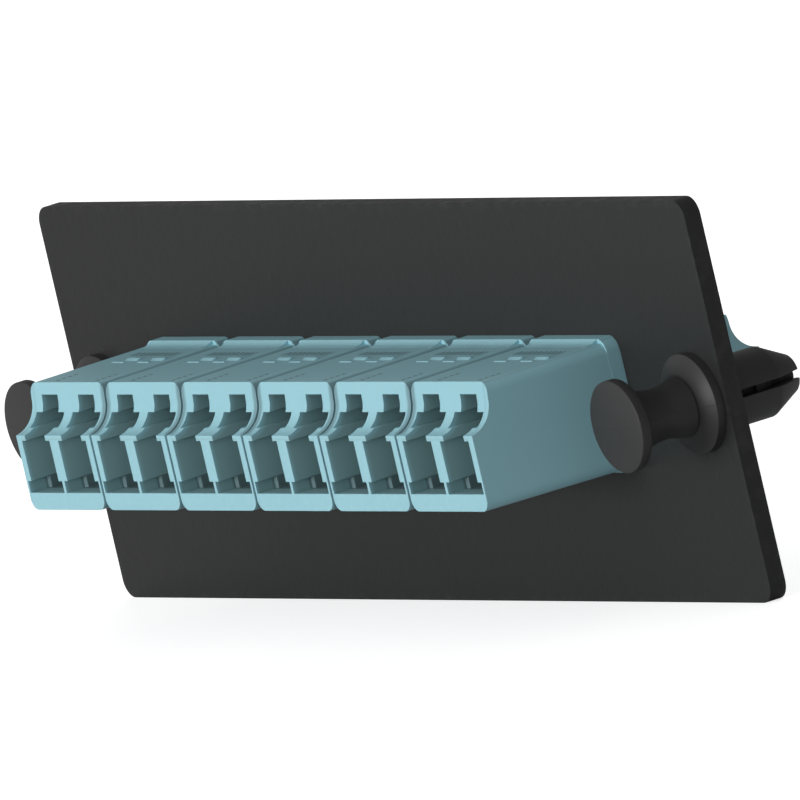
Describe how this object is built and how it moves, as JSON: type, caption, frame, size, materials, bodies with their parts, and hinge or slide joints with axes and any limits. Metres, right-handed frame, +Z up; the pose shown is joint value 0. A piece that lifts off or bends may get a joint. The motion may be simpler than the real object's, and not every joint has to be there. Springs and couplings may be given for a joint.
{
  "type": "fibre adapter panel",
  "caption": "Rectangular black steel panel with a row of aqua duplex fibre adapters through one window and a push-pull fastener at each end.",
  "frame": {"origin": "midway between the two fasteners, on the plate's back face", "axes": "+X along the plate, +Y backwards into the enclosure along the fasteners, +Z up towards the latch side of the ports"},
  "size_m": [0.1092, 0.0292, 0.0352],
  "materials": {
    "powder_coat": "fine matt black powder coat",
    "adapter_plastic": "satin moulded aqua plastic",
    "nylon": "satin moulded black nylon",
    "zirconia": "ground white ceramic"
  },
  "bodies": {
    "panel": {"plate": "powder_coat", "front_housing_1": "adapter_plastic", "front_housing_2": "adapter_plastic", "front_housing_3": "adapter_plastic", "front_housing_4": "adapter_plastic", "front_housing_5": "adapter_plastic", "front_housing_6": "adapter_plastic", "rear_housing_1": "adapter_plastic", "rear_housing_2": "adapter_plastic", "rear_housing_3": "adapter_plastic", "rear_housing_4": "adapter_plastic", "rear_housing_5": "adapter_plastic", "rear_housing_6": "adapter_plastic", "sleeve_1_left": "zirconia", "sleeve_1_right": "zirconia", "sleeve_2_left": "zirconia", "sleeve_2_right": "zirconia", "sleeve_3_left": "zirconia", "sleeve_3_right": "zirconia", "sleeve_4_left": "zirconia", "sleeve_4_right": "zirconia", "sleeve_5_left": "zirconia", "sleeve_5_right": "zirconia", "sleeve_6_left": "zirconia", "sleeve_6_right": "zirconia", "grommet_left": "nylon", "grommet_right": "nylon"},
    "plunger_left": {"plunger_left": "nylon"},
    "plunger_right": {"plunger_right": "nylon"}
  },
  "joints": [
    {"name": "left_plunger_pull", "type": "slide", "parent": "panel", "child": "plunger_left", "axis": [0, -1, 0], "range_m": [0, 0.0044]},
    {"name": "right_plunger_pull", "type": "slide", "parent": "panel", "child": "plunger_right", "axis": [0, -1, 0], "range_m": [0, 0.0044]}
  ]
}
